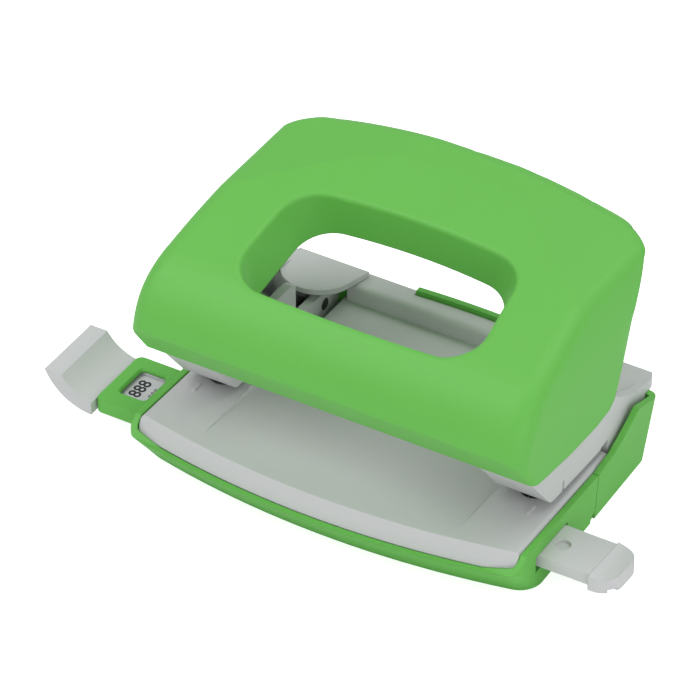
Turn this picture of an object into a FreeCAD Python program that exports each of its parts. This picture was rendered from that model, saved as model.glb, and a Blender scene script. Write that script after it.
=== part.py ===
import FreeCAD, Part
import math
import os
from FreeCAD import Vector

# A small two-hole desk punch. Sizes are in millimetres.
# X runs to the right, Y to the back with 0 on the line of the two holes, Z up from the underside.

# Punching geometry
hole_pitch = 80.0
hole_diameter = 5.5
hole_back_margin = 12.0
hole_side_margin = 28.5
table_top = 13.0
slot_height = 2.3
die_height = 3.5
die_diameter = 7.2
die_clearance = 0.05
pin_running_clearance = 0.03
pin_tip_setback = 0.6
pin_length = 20.1
pin_neck_diameter = 4.6
pin_hollow_radius = 5.0
pin_hollow_depth = 1.0
bush_wall = 1.7
flange_diameter = 10.4
pin_well_gap = 0.15
flange_thickness = 0.8
clip_thickness = 0.9
clip_diameter = 10.2
clip_drop = 3.1
clip_mouth_share = 0.8
groove_clearance = 0.05
spring_wire = 0.7
spring_mean_diameter = 8.4
spring_turns = 3.5
seat_gap = 0.1

# Handle hinge
hinge_y = 32.4
hinge_z = 14.4
hinge_pin_diameter = 3.0
hinge_running_clearance = 0.05

# Green base hull, split into a front chip tray and a rear shell
split_y = 11.5
split_gap = 0.3
hull_wall = 1.5
floor_thickness = 1.5
hull_half_front = 50.2
hull_half_rear = 50.4
floor_half_front = 49.8
floor_half_rear = 47.0
side_start_y = -18.0
apex_rim_y = -30.9
apex_floor_y = -24.0
front_radius = 210.0
corner_radius_rim = 3.0
corner_radius_floor = 5.5
least_corner_radius = 0.3
rear_y_rim = 43.9
rear_y_floor = 41.4
rear_bow_radius = 225.0
rear_corner_radius = 2.2
front_rim_height = 8.9
side_rim_height = 12.5
hull_top = 24.0
front_rim_slope_y = (-25.4, -21.3)
rear_rim_points = [(18.3, 13.7), (21.9, 15.5), (25.6, 17.8), (28.4, 20.1), (36.2, 17.7)]
rear_rim_height = 17.6
tray_hinge_y = 9.6
tray_hinge_radius = 1.75
tray_hinge_lift = 0.15
tray_pivot_radius = 1.1
lug_inner = 42.0
lug_width = 2.6
lug_clearance = 0.3
tray_back_height = 8.2
tray_back_half = 47.2
tray_end_x = 48.2
post_half_size = 1.2
tray_post_x = [12.0, 30.0]
tray_post_y = (-29.6, -25.4)

# Base plate
plate_gap = 0.2
plate_thickness = 2.0
bevel_depth = 2.3
bevel_corner_radius = 0.5
skirt_bottom = 8.4
side_round = 1.2
centre_half = 32.8
dip_start_y = -20.5
dip_end_y = 4.0
dip_depth = 1.7
shelf_half = 31.5
shelf_height = 13.8
shelf_bottom = 9.3
table_end_y = 18.9
ledge_half = 30.5
ledge_front_y = 36.9
ledge_back_y = 42.8
rim_lip_half = 15.0
rim_lip_top = 19.5
rim_lip_gap = 0.3
ledge_height = 18.4
ledge_round = 1.6
die_boss_wall = 2.0
guide_rib_x = 43.0
guide_rib_length = 3.0
guide_rib_width = 0.8
guide_rib_height = 0.4
stop_width = 9.0
stop_depth = 3.0

# Punch frames, one on each side
frame_outer = 47.0
frame_inner = 33.6
cheek_thickness = 2.2
frame_front_wall = 1.6
head_lean = 7.8
head_lean_height = 9.9
head_front_y = -5.6
head_top = 28.4
head_round = 3.0
pocket_floor = 21.0
column_front_y = 19.6
slot_end_y = 16.5
slot_end_rise = 0.9
frame_bottom_gap = 0.1
pocket_bend_y = 12.0
well_front_y = 20.0
well_top = 16.0
well_back_y = 28.5
well_floor = 3.6
hinge_pin_length = 12.6
tongue_inner = 27.4
tongue_back_y = 41.6
tongue_corner = 3.0
tongue_bottom = 17.8
tongue_thickness = 1.4
tongue_centre = (37.5, 36.0)
tongue_round = 8.6
tongue_turn = (186.0, 346.0)
tongue_points = [(27.0, 21.0), (36.4, 20.2), (41.6, 19.9)]
cheek_top_points = [(18.4, 28.4), (22.4, 26.2), (26.4, 23.6), (31.4, 21.4), (36.4, 20.2)]
boss_radius = 3.4
notch_cut_depth = 0.6
notch_cut_width = 0.8
notch_cut_height = 2.6
screw_diameter = 2.2
screw_head_diameter = 4.6
screw_head_depth = 1.0
screw_length = 7.0
screw_drive_width = 0.8
screw_drive_depth = 0.6
screw_drive_share = 1 / 3
screw_lift = 0.2
frame_screw_y = [24.0, 33.0]
frame_screw_x = 40.0
plate_screw_x = 15.0
plate_screw_y = 37.5

# Handle
handle_half = 50.0
handle_wall = 2.0
handle_side_radius = 33.0
handle_side_drop = 21.1
lip_bottom = (-17.9, 29.2)
lip_crease = (-24.4, 38.4)
front_mid = (-19.9, 47.2)
front_end = (-9.0, 53.4)
top_mid = (11.0, 58.6)
top_end = (33.0, 62.6)
handle_height = 63.1
crown_radius = 200.0
ridge_y = 45.4
ridge_radius = 444.0
rear_half_start = 50.3
rear_half_slope = 0.14
ridge_corner_radius = 12.0
ridge_round = 4.5
edge_round = 1.6
handle_edge_points = [(-11.0, 28.6), (-2.0, 27.9), (9.0, 27.9), (14.6, 28.7), (17.0, 30.3), (20.7, 38.6),
                      (25.0, 46.6), (28.1, 50.1), (34.8, 56.1), (40.0, 58.6), (52.0, 59.0)]
opening_front_y = -13.4
opening_back_y = 17.0
opening_half_front = 33.1
opening_half_back = 27.4
opening_level = 56.0
opening_front_corner = 7.0
opening_back_corner = 10.0
opening_front_bow = 600.0
opening_back_bow = 190.0
opening_draft = 0.32
collar_line = [(-20.0, 39.5), (25.0, 52.4)]
collar_wall = 1.8
opening_round = 1.2

# Lever arms that carry the handle on its hinge
arm_offset = 2.6
arm_width = 4.6
arm_boss_radius = 3.2
pad_half_length = 4.6
arm_height = 4.4
arm_front_rise = 1.0
arm_bracket_z = 50.0
arm_bracket_y = (-1.0, 13.0)
lever_screw_y = [2.2, 9.8]
rib_gap = 0.1
rib_width = 2.9
rib_bottom = 43.0
rib_y = (-2.0, 14.0)
arm_back_point = (13.0, 40.0)
arm_step_points = [(29.0, 17.2), (25.2, 20.6)]
arm_knee_y = 6.5
lever_screw_z = 47.2
lever_screw_diameter = 2.2
lever_screw_length = 6.0
lever_screw_head = 3.8
lever_head_depth = 1.0

# Paper guide
bar_front_y = -15.7
bar_width = 12.3
tab_bulge = 0.7
bar_bottom = 6.0
bar_thickness = 3.0
bar_right_x = 62.5
bar_clearance = 0.4
bar_slip = 0.15
scale_depth = 0.8
scale_width = 10.7
scale_start_x = -61.5
tab_length = 6.0
tab_lip = 0.8
tab_overlap = 3.0
tab_round = 5.0
tab_rim = 1.2
tab_dish_radius = 8.0
tab_dish_x = 3.0
tab_dish_depth = 0.5
peg_x = 52.6
peg_diameter = 3.4
notch_pitch = 6.0
notch_width = 1.2
notch_depth = 0.6
stop_front_y = -19.9
stop_span = 19.0
stop_top = 14.2
stop_foot_x = -62.9
stop_wall_x = -70.6
stop_outer_x = -75.0
stop_ramp_back = 1.6
stop_ramp_rise = 1.6
stop_under = (4.4, 8.6)
housing_left_x = -62.5
housing_front_y = -18.8
housing_back_y = -0.4
housing_top = 10.0
housing_roof = 0.8
housing_bottom = 6.6
window_x = (-59.8, -52.2)
window_y = (-14.2, -3.6)
window_round = 1.2
window_taper = 0.5
rail_height = 5.9
rail_width = 1.2
rail_inset = 1.0
rail_half_length = 46.0
rail_gap = 0.3

# Pads
pad_depth = 0.8
pad_length = 16.0
pad_width = 6.0
pad_round = 2.8
front_pad_y = -14.0
front_pad_x = 34.0
rear_pad_y = 30.4
rear_pad_x = 27.0

# Cutting and picking
over = 1.0
far = 200.0
up = (0, 0, 1)
across = (1, 0, 0)
straight_turn = 1e-9
quarter_turns = 4
gap_samples = 36

# Worked-out sizes
hole_x = hole_pitch / 2
arm_inner = hole_x - arm_offset
rib_outer = arm_inner + arm_width + rib_gap + rib_width
handle_side_start = handle_height - handle_side_drop
slot_top = table_top + slot_height
pin_radius = hole_diameter / 2
bush_radius = pin_radius + bush_wall
pin_tip_z = slot_top + pin_tip_setback
pin_top_z = pin_tip_z + pin_length
clip_z = pin_top_z - clip_drop
pad_z = pin_top_z + seat_gap
flange_top = pocket_floor + flange_thickness
plate_inset = hull_wall + plate_gap
bar_back_y = bar_front_y + bar_width
bar_top = bar_bottom + bar_thickness
bar_middle_y = (bar_front_y + bar_back_y) / 2
stop_face_x = -hole_x - hole_side_margin


def box(x0, x1, y0, y1, z0, z1):
    """A block between two corners."""
    return Part.makeBox(x1 - x0, y1 - y0, z1 - z0, Vector(x0, y0, z0))


def rod(radius, start, length, direction):
    """A round bar from a start point."""
    return Part.makeCylinder(radius, length, Vector(*start), Vector(*direction))


def mirrored(shape):
    """The same shape on the other side of the middle plane."""
    return shape.mirror(Vector(0, 0, 0), Vector(1, 0, 0))


def side_prism(points, x0, x1):
    """A (y, z) outline with straight edges, pulled along X."""
    corners = [Vector(x0, y, z) for y, z in points]
    face = Part.Face(Part.makePolygon(corners + corners[:1]))
    return face.extrude(Vector(x1 - x0, 0, 0))


def arc(a, b, c):
    """An edge along the circle through three points."""
    return Part.Arc(a, b, c).toShape()


def line(a, b):
    """A straight edge."""
    return Part.LineSegment(a, b).toShape()


def mirror_point(p):
    """The point on the other side of the middle plane."""
    return Vector(-p.x, p.y, p.z)


def bowed_corner(start, along, bow_centre, bow_radius, corner, way):
    """The three points of the round corner between a straight side and a bowed end."""
    outward = Vector(along.y, -along.x, 0)
    base = start - outward * corner
    to_base = base - bow_centre
    b = to_base.dot(along)
    c = to_base.dot(to_base) - (bow_radius - corner) ** 2
    centre = base + along * (-b + way * math.sqrt(b * b - c))
    on_bow = bow_centre + (centre - bow_centre) * (bow_radius / (bow_radius - corner))
    on_side = centre + outward * corner
    middle = centre + ((on_bow - centre) + (on_side - centre)).normalize() * corner
    return on_bow, middle, on_side


def outline(z, half_front, half_rear, front_y, front_bow, front_corner, rear_y, rear_bow, rear_corner):
    """A plan outline: bowed front and back, leaning sides and four round corners."""
    along = Vector(half_rear - half_front, rear_y - side_start_y, 0).normalize()
    start = Vector(half_front, side_start_y, 0)
    front_centre = Vector(0, front_y + front_bow, 0)
    rear_centre = Vector(0, rear_y - rear_bow, 0)
    front = bowed_corner(start, along, front_centre, front_bow, front_corner, -1)
    rear = bowed_corner(start, along, rear_centre, rear_bow, rear_corner, 1)
    level = Vector(0, 0, z)
    front = [p + level for p in front]
    rear = [p + level for p in reversed(rear)]
    front_left = [mirror_point(p) for p in reversed(front)]
    rear_left = [mirror_point(p) for p in reversed(rear)]
    edges = [arc(front_left[-1], Vector(0, front_y, z), front[0]), arc(*front), line(front[-1], rear[0]),
             arc(*rear), arc(rear[-1], Vector(0, rear_y, z), rear_left[0]), arc(*rear_left),
             line(rear_left[-1], front_left[0]), arc(*front_left)]
    return Part.Wire(edges)


def blend(a, b, share):
    """The value that lies a share of the way from a to b."""
    return a + (b - a) * share


def hull_outline(z, inset):
    """The base's outline at one height, moved inward by an inset."""
    low = min(z / front_rim_height, 1)
    high = z / hull_top
    return outline(z, blend(floor_half_front, hull_half_front, high) - inset,
                   blend(floor_half_rear, hull_half_rear, high) - inset,
                   blend(apex_floor_y, apex_rim_y, low) + inset, front_radius - inset,
                   max(blend(corner_radius_floor, corner_radius_rim, low) - inset, least_corner_radius),
                   blend(rear_y_floor, rear_y_rim, high) - inset, rear_bow_radius - inset,
                   max(rear_corner_radius - inset, least_corner_radius))


def hull_body(inset, bottom):
    """The base as a solid: a slanted lower part and an upright upper part."""
    waist = hull_outline(front_rim_height, inset)
    lower = Part.makeLoft([hull_outline(bottom, inset), waist], True, True)
    upper = Part.makeLoft([waist, hull_outline(hull_top, inset)], True, True)
    return lower.fuse(upper).removeSplitter()


def hull_shell():
    """The open base shell before it is split."""
    return hull_body(0, 0).cut(hull_body(hull_wall, floor_thickness))


def rounded_pad(x, y, z, height, grow):
    """A flat pad with round corners."""
    half_x = pad_length / 2 + grow
    half_y = pad_width / 2 + grow
    pad = box(x - half_x, x + half_x, y - half_y, y + half_y, z, z + height)
    edges = [e for e in pad.Edges if abs(e.Vertexes[0].Z - e.Vertexes[1].Z) > height / 2]
    return pad.makeFillet(pad_round, edges)


def pads(x, y, height, grow):
    """A pair of pads at the underside."""
    return [rounded_pad(x, y, 0, height, grow), rounded_pad(-x, y, 0, height, grow)]


def rim_cutter(points):
    """Everything above the rim line, which runs from front to back."""
    top = hull_top + hull_wall
    front = [(-far, top), (-far, points[0][1])]
    back = [(far, points[-1][1]), (far, top)]
    return side_prism(front + points + back, -far, far)


def housing():
    """The window housing that covers the guide bar on the left."""
    wall_x = -hull_half_front + hull_wall
    block = box(housing_left_x, wall_x, housing_front_y, housing_back_y, housing_bottom, housing_top)
    corners = [e for e in block.Edges if abs(e.Vertexes[0].Z - e.Vertexes[1].Z) > housing_roof
               and e.Vertexes[0].X < housing_left_x + seat_gap]
    block = block.makeFillet(edge_round, corners)
    inside = box(housing_left_x - far, wall_x, bar_front_y - bar_clearance, bar_back_y + bar_clearance,
                 0, housing_top - housing_roof)
    window = []
    for z, shrink in ((housing_top, 0), (housing_top - housing_roof, window_taper)):
        x0, x1 = window_x[0] + shrink, window_x[1] - shrink
        y0, y1 = window_y[0] + shrink, window_y[1] - shrink
        window.append(rounded_polygon([(x0, y0), (x1, y0), (x1, y1), (x0, y1)], window_round, z))
    return block.cut(inside).cut(Part.makeLoft(window, True, True))


def guide_cutter(x0, x1):
    """The way of the guide bar through a wall."""
    side = tab_bulge + bar_clearance
    return box(x0, x1, bar_front_y - side, bar_back_y + side, bar_bottom - tab_lip - bar_clearance,
               bar_top + bar_slip)


def tray_hinge_z():
    """The height of the tray's hinge axis."""
    return tray_hinge_radius + tray_hinge_lift


def tray_lug_room(grow):
    """The space that a rear shell lug takes in the tray, on the right."""
    return box(lug_inner - grow, lug_inner + lug_width + grow, tray_hinge_y - tray_hinge_radius - grow, far,
               -over, tray_hinge_z() + tray_hinge_radius + grow)


def rail_places():
    """The front faces of the two rails that carry the guide bar."""
    return [bar_front_y + rail_inset, bar_back_y - rail_inset - rail_width]


def chip_tray():
    """The front shell, which holds the chips and swings down to be emptied."""
    tray_end = split_y - split_gap / 2
    axis_z = tray_hinge_z()
    shell = hull_shell().common(box(-far, far, -far, tray_end, -over, hull_top))
    rim = [(front_rim_slope_y[0], front_rim_height), (front_rim_slope_y[1], side_rim_height)]
    shell = shell.cut(rim_cutter(rim))
    back = box(-tray_back_half, tray_back_half, tray_hinge_y, tray_end, floor_thickness, tray_back_height)
    rails = [box(-rail_half_length, rail_half_length, y, y + rail_width, floor_thickness, rail_height)
             for y in rail_places()]
    post_top = skirt_bottom - plate_gap
    posts = [box(x - post_half_size, x + post_half_size, *tray_post_y, floor_thickness / 2, post_top)
             for half in tray_post_x for x in (-half, half)]
    inside = hull_body(hull_wall / 2, floor_thickness / 2)
    shell = shell.fuse([back] + rails + [post.common(inside) for post in posts])
    shell = shell.cut(box(-far, far, tray_hinge_y, far, -over, axis_z))
    end_start = lug_inner + lug_width + lug_clearance
    end = rod(tray_hinge_radius, (end_start, tray_hinge_y, axis_z), tray_end_x - end_start, across)
    middle = lug_inner - lug_clearance
    barrel = rod(tray_hinge_radius, (-middle, tray_hinge_y, axis_z), 2 * middle, across)
    room = tray_lug_room(lug_clearance)
    shell = shell.fuse([barrel, end, mirrored(end)]).cut(room).cut(mirrored(room))
    stub_end = lug_inner + lug_width
    shell = shell.fuse(rod(tray_pivot_radius, (-stub_end, tray_hinge_y, axis_z), 2 * stub_end, across))
    shell = shell.cut(guide_cutter(rail_half_length, far)).cut(guide_cutter(-far, -rail_half_length))
    shell = shell.fuse(housing())
    for pad in pads(front_pad_x, front_pad_y, pad_depth, 0):
        shell = shell.cut(pad)
    return shell.removeSplitter()


def screw_seats():
    """The places of the screws under the base, as (x, y)."""
    frames = [(side * frame_screw_x, y) for side in (-1, 1) for y in frame_screw_y]
    return frames + [(side * plate_screw_x, plate_screw_y) for side in (-1, 1)]


def screw_room(x, y, grow):
    """The hole and head recess of one base screw."""
    head = rod(screw_head_diameter / 2 + grow, (x, y, 0), screw_head_depth, up)
    return head.fuse(rod(screw_diameter / 2 + grow, (x, y, 0), screw_length, up))


def base_screws():
    """Screws that hold the frames and the base plate to the rear shell."""
    screws = []
    half = screw_drive_width / 2
    reach = screw_head_diameter * screw_drive_share
    for x, y in screw_seats():
        head = rod(screw_head_diameter / 2, (x, y, screw_lift), screw_head_depth - screw_lift, up)
        shank = rod(screw_diameter / 2, (x, y, screw_lift), screw_length - screw_lift, up)
        slot = box(x - reach, x + reach, y - half, y + half, 0, screw_drive_depth)
        cross = box(x - half, x + half, y - reach, y + reach, 0, screw_drive_depth)
        screws.append(head.fuse(shank).cut(slot).cut(cross))
    return Part.makeCompound(screws)


def rear_shell():
    """The rear half of the base hull, which the frames and the base plate stand in."""
    shell = hull_shell().common(box(-far, far, split_y + split_gap / 2, far, -over, hull_top))
    rim = [(split_y, side_rim_height)] + rear_rim_points + [(rear_y_rim, rear_rim_height)]
    shell = shell.cut(rim_cutter(rim))
    lip_bottom_z = rear_rim_height - hull_wall
    lip_room = box(-rim_lip_half, rim_lip_half, ledge_front_y, far, lip_bottom_z, rim_lip_top)
    shell = shell.fuse(hull_shell().common(lip_room))
    axis_z = tray_hinge_z()
    lug = rod(tray_hinge_radius, (lug_inner, tray_hinge_y, axis_z), lug_width, across)
    lug = lug.fuse(box(lug_inner, lug_inner + lug_width, tray_hinge_y, split_y + lug_width,
                       axis_z - tray_hinge_radius, axis_z + tray_hinge_radius))
    bore_radius = tray_pivot_radius + hinge_running_clearance
    lug = lug.cut(rod(bore_radius, (lug_inner - over, tray_hinge_y, axis_z), lug_width + 2 * over, across))
    shell = shell.fuse([lug, mirrored(lug)])
    for x, y in screw_seats():
        shell = shell.cut(screw_room(x, y, 0))
    for pad in pads(rear_pad_x, rear_pad_y, pad_depth, 0):
        shell = shell.cut(pad)
    return shell.removeSplitter()


def outside_hull(inset):
    """Everything outside the base hull's inner space, up to its rear rim."""
    return box(-far, far, -far, far, -far, tongue_bottom).cut(hull_body(inset, -floor_thickness))


def bevel_body():
    """A wide body whose front leans back like the base plate's bevel."""
    wide = floor_half_front
    lean = bevel_depth / (table_top - front_rim_height)
    wires = []
    for z in (skirt_bottom - plate_thickness, table_top + plate_thickness):
        apex = apex_rim_y + plate_inset + lean * (z - front_rim_height)
        wires.append(outline(z, wide, wide, apex, front_radius, bevel_corner_radius,
                             rear_y_rim, rear_bow_radius, rear_corner_radius))
    return Part.makeLoft(wires, True, True)


def table():
    """The paper table with its bevel, rounded sides and hollow underside."""
    slab = hull_body(plate_inset, skirt_bottom).common(box(-far, far, -far, table_end_y, 0, table_top))
    edges = [e for e in slab.Edges if min(v.Z for v in e.Vertexes) > table_top - seat_gap
             and min(abs(v.X) for v in e.Vertexes) > frame_inner
             and abs(e.Vertexes[0].Y - e.Vertexes[-1].Y) > table_end_y]
    slab = slab.makeFillet(side_round, edges).common(bevel_body()).removeSplitter()
    hollow = hull_body(plate_inset + plate_thickness, skirt_bottom - over)
    room = box(-far, far, -far, table_end_y - plate_thickness, 0, table_top - plate_thickness)
    return slab.cut(hollow.common(room)).cut(guide_cutter(-far, far))


def base_plate():
    """The grey plate: table with a dipped middle, shelf, ledge, die seats and paper stops."""
    plate = table()
    dip_z = table_top - dip_depth
    floor_line = [(dip_start_y, table_top), (dip_end_y, dip_z), (hole_back_margin, dip_z)]
    trough_back = hole_back_margin + plate_thickness
    under = [(y, z - plate_thickness) for y, z in reversed(floor_line)]
    wide = centre_half + plate_thickness
    plate = plate.fuse(side_prism(floor_line + under, -wide, wide))
    plate = plate.cut(side_prism(floor_line + [(hole_back_margin, far)], -centre_half, centre_half))
    shelf = box(-shelf_half, shelf_half, hole_back_margin, ledge_back_y, shelf_bottom, shelf_height)
    shelf = shelf.cut(box(plate_thickness - shelf_half, shelf_half - plate_thickness, trough_back,
                          ledge_back_y - plate_thickness, 0, shelf_height - plate_thickness))
    ledge_bottom = shelf_height - plate_thickness
    ledge = box(-ledge_half, ledge_half, ledge_front_y, ledge_back_y, ledge_bottom, ledge_height)
    front_edge = [e for e in ledge.Edges if e.CenterOfMass.z > ledge_height - seat_gap
                  and e.CenterOfMass.y < ledge_front_y + seat_gap]
    ledge = ledge.makeFillet(ledge_round, front_edge)
    bosses = [rod(boss_radius, (side * plate_screw_x, plate_screw_y, floor_thickness + seat_gap),
                  shelf_height - floor_thickness - plate_thickness, up) for side in (-1, 1)]
    plate = plate.fuse([shelf, ledge] + bosses)
    die_z = table_top - die_height
    under_table = table_top - plate_thickness
    for side in (-1, 1):
        x = side * hole_x
        seat = rod(die_diameter / 2 + die_boss_wall, (x, 0, die_z), under_table - die_z, up)
        stop = box(x - stop_width / 2, x + stop_width / 2, hole_back_margin, hole_back_margin + stop_depth,
                   under_table, slot_top - plate_gap)
        rib_x = side * guide_rib_x - guide_rib_width / 2
        rib = box(rib_x, rib_x + guide_rib_width, head_front_y - guide_rib_length, head_front_y,
                  under_table, table_top + guide_rib_height)
        plate = plate.fuse([seat, stop, rib])
        plate = plate.cut(rod(die_diameter / 2, (x, 0, die_z - over), die_height + 2 * over, up))
        screw_place = (side * plate_screw_x, plate_screw_y, 0)
        plate = plate.cut(rod(screw_diameter / 2, screw_place, screw_length, up))
    lip_half = rim_lip_half + rim_lip_gap
    behind_lip = box(-lip_half, lip_half, ledge_front_y, far, 0, hull_top)
    behind_lip = behind_lip.cut(hull_body(plate_inset, -floor_thickness))
    return plate.cut(outside_hull(plate_inset)).cut(behind_lip).removeSplitter()


def die():
    """The right steel die that the pin shears against."""
    die_z = table_top - die_height
    ring = rod(die_diameter / 2, (hole_x, 0, die_z), die_height, up)
    return ring.cut(rod(pin_radius + die_clearance, (hole_x, 0, die_z - over), die_height + 2 * over, up))


def head_outline():
    """The side outline of a punch frame: leaning head, cheek ramp and column."""
    foot = floor_thickness + frame_bottom_gap
    lean_y = head_front_y - head_lean
    head = [(head_front_y, slot_top), (lean_y, slot_top + head_lean_height), (lean_y, head_top)]
    back = [(tongue_back_y, tongue_points[-1][1]), (tongue_back_y, foot), (column_front_y, foot)]
    slot_end = [(column_front_y, slot_top + slot_end_rise), (slot_end_y, slot_top + slot_end_rise / 2),
                (slot_end_y, slot_top)]
    return head + cheek_top_points + back + slot_end


def frame_pocket():
    """The room for pin, spring and lever arm inside a punch frame."""
    wall = frame_front_wall
    lean = head_lean / head_lean_height
    floor_front_y = head_front_y - (pocket_floor - slot_top) * lean + wall
    lean_y = head_front_y - head_lean + wall
    return [(floor_front_y, pocket_floor), (pocket_bend_y, pocket_floor), (well_front_y, well_top),
            (well_back_y, well_floor), (far, well_floor), (far, far), (lean_y, far),
            (lean_y, slot_top + head_lean_height)]


def tongue():
    """The cap over the hinge well, with a round front."""
    ends = []
    for turn in (tongue_turn[0], sum(tongue_turn) / 2, tongue_turn[1]):
        angle = math.radians(turn)
        ends.append(Vector(tongue_centre[0] + tongue_round * math.cos(angle),
                           tongue_centre[1] + tongue_round * math.sin(angle), 0))
    back_in = Vector(tongue_inner, tongue_back_y, 0)
    back_out = Vector(ends[2].x, tongue_back_y, 0)
    edges = [arc(*ends), line(ends[2], back_out), line(back_out, back_in), line(back_in, ends[0])]
    plan = Part.Face(Part.Wire(edges)).extrude(Vector(0, 0, head_top))
    under = [(y, z - tongue_thickness) for y, z in reversed(tongue_points)]
    return plan.common(side_prism(tongue_points + under, 0, far))


def punch_frame():
    """The right grey frame: head over the slot, cheek, column, hinge supports and hinge cap."""
    frame = side_prism(head_outline(), frame_inner, frame_outer)
    corner = [e for e in frame.Edges if all(v.X > frame_outer - seat_gap and v.Y > tongue_back_y - seat_gap
                                            for v in e.Vertexes)]
    foot = [e for e in frame.Edges if abs(e.CenterOfMass.y - head_front_y) < seat_gap
            and abs(e.CenterOfMass.z - slot_top) < seat_gap]
    frame = frame.makeFillet(tongue_corner, corner).makeFillet(head_round, foot)
    mark_half = notch_cut_width / 2
    mark_top = slot_top + notch_cut_height
    frame = frame.cut(box(frame_outer - notch_cut_depth, far, -mark_half, mark_half, 0, mark_top))
    cheek_inside = frame_inner + cheek_thickness
    frame = frame.cut(side_prism(frame_pocket(), cheek_inside, frame_outer - cheek_thickness))
    open_side = [(well_front_y, tongue_bottom), (far, tongue_bottom), (far, far), (well_front_y, far)]
    frame = frame.cut(side_prism(open_side, 0, cheek_inside))
    boss_foot = well_floor - over
    boss_height = screw_length + over - boss_foot
    boss = rod(boss_radius, (frame_screw_x, frame_screw_y[1], boss_foot), boss_height, up)
    frame = frame.fuse([boss, tongue()])
    pin_start = (frame_inner - over, hinge_y, hinge_z)
    frame = frame.cut(rod(hinge_pin_diameter / 2, pin_start, hinge_pin_length + over, across))
    frame = frame.cut(rod(bush_radius, (hole_x, 0, 0), far, up))
    frame = frame.cut(rod(flange_diameter / 2 + pin_well_gap, (hole_x, 0, pocket_floor), far, up))
    for y in frame_screw_y:
        frame = frame.cut(rod(screw_diameter / 2, (frame_screw_x, y, 0), screw_length, up))
    behind_slot = box(-far, far, column_front_y, far, -far, far)
    frame = frame.cut(outside_hull(hull_wall + lug_clearance).common(behind_slot))
    return frame.removeSplitter()


def hinge_pin():
    """The right steel pin that the handle turns on."""
    return rod(hinge_pin_diameter / 2, (frame_inner, hinge_y, hinge_z), hinge_pin_length, across)


def pin_bush():
    """The right flanged sleeve that guides the punch pin."""
    sleeve = rod(bush_radius, (hole_x, 0, slot_top), pocket_floor - slot_top, up)
    flange = rod(flange_diameter / 2, (hole_x, 0, pocket_floor), flange_thickness, up)
    bore = rod(pin_radius + pin_running_clearance, (hole_x, 0, 0), far, up)
    return sleeve.fuse(flange).cut(bore)


def punch_pin():
    """The right punch pin: hollow cutting end, groove for the clip and domed top."""
    body = rod(pin_radius, (hole_x, 0, pin_tip_z), pin_length - pin_radius, up)
    dome = Part.makeSphere(pin_radius, Vector(hole_x, 0, pin_top_z - pin_radius))
    hollow_z = pin_tip_z + pin_hollow_depth - pin_hollow_radius
    hollow = rod(pin_hollow_radius, (hole_x - far, 0, hollow_z), 2 * far, across)
    groove_width = clip_thickness + 2 * groove_clearance
    groove = rod(clip_diameter, (hole_x, 0, clip_z - groove_clearance), groove_width, up)
    groove = groove.cut(rod(pin_neck_diameter / 2, (hole_x, 0, 0), far, up))
    return body.fuse(dome).cut(hollow).cut(groove).removeSplitter()


def pin_clip():
    """The right spring clip that sits in the pin's groove and takes the spring."""
    ring = rod(clip_diameter / 2, (hole_x, 0, clip_z), clip_thickness, up)
    ring = ring.cut(rod(pin_neck_diameter / 2, (hole_x, 0, clip_z - over), clip_thickness + 2 * over, up))
    mouth = pin_neck_diameter * clip_mouth_share / 2
    return ring.cut(box(hole_x - mouth, hole_x + mouth, 0, far, 0, far))


def helix_point(angle, x, radius, z0, pitch):
    """A point on the spring's centre line."""
    z = z0 + pitch * angle / (2 * math.pi)
    return Vector(x + radius * math.cos(angle), radius * math.sin(angle), z)


def helix_tangent(angle, radius, pitch):
    """The direction of the spring's centre line."""
    return Vector(-radius * math.sin(angle), radius * math.cos(angle), pitch / (2 * math.pi)).normalize()


def arc_from_tangent(p0, t0, p1):
    """The arc that leaves p0 along t0 and ends at p1."""
    chord = p1 - p0
    normal = t0.cross(chord).cross(t0).normalize()
    radius = chord.dot(chord) / (2 * chord.dot(normal))
    centre = p0 + normal * radius
    middle = centre + ((p0 - centre) + (p1 - centre)).normalize() * radius
    return arc(p0, middle, p1)


def biarc(p0, t0, p1, t1):
    """Two tangent arcs between two points with given directions."""
    v = p1 - p0
    t = t0 + t1
    a = 2 * (1 - t0.dot(t1))
    b = 2 * v.dot(t)
    c = -v.dot(v)
    d = -c / b if abs(a) < straight_turn else (-b + math.sqrt(b * b - 4 * a * c)) / (2 * a)
    joint = (p0 + p1 + (t0 - t1) * d) / 2
    tangent = ((p1 - t1 * d) - (p0 + t0 * d)).normalize()
    return [arc_from_tangent(p0, t0, joint), arc_from_tangent(joint, tangent, p1)]


def pin_spring():
    """The right return spring, an open coil between bush and clip."""
    radius = spring_mean_diameter / 2
    low = flange_top + spring_wire / 2
    high = clip_z - spring_wire / 2
    pitch = (high - low) / spring_turns
    steps = int(round(spring_turns * quarter_turns))
    angles = [2 * math.pi / quarter_turns * i for i in range(steps + 1)]
    edges = []
    for a0, a1 in zip(angles, angles[1:]):
        edges += biarc(helix_point(a0, hole_x, radius, low, pitch), helix_tangent(a0, radius, pitch),
                       helix_point(a1, hole_x, radius, low, pitch), helix_tangent(a1, radius, pitch))
    first = helix_point(angles[0], hole_x, radius, low, pitch)
    last = helix_point(angles[-1], hole_x, radius, low, pitch)
    start = first - Vector(0, spring_wire, 0)
    end_way = helix_tangent(angles[-1], radius, pitch)
    end_way = Vector(end_way.x, end_way.y, 0).normalize()
    edges = [line(start, first)] + edges + [line(last, last + end_way * spring_wire)]
    path = Part.Wire(edges)
    section = Part.Wire([Part.Circle(start, Vector(0, 1, 0), spring_wire / 2).toShape()])
    return path.makePipeShell([section], True, False)


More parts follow.
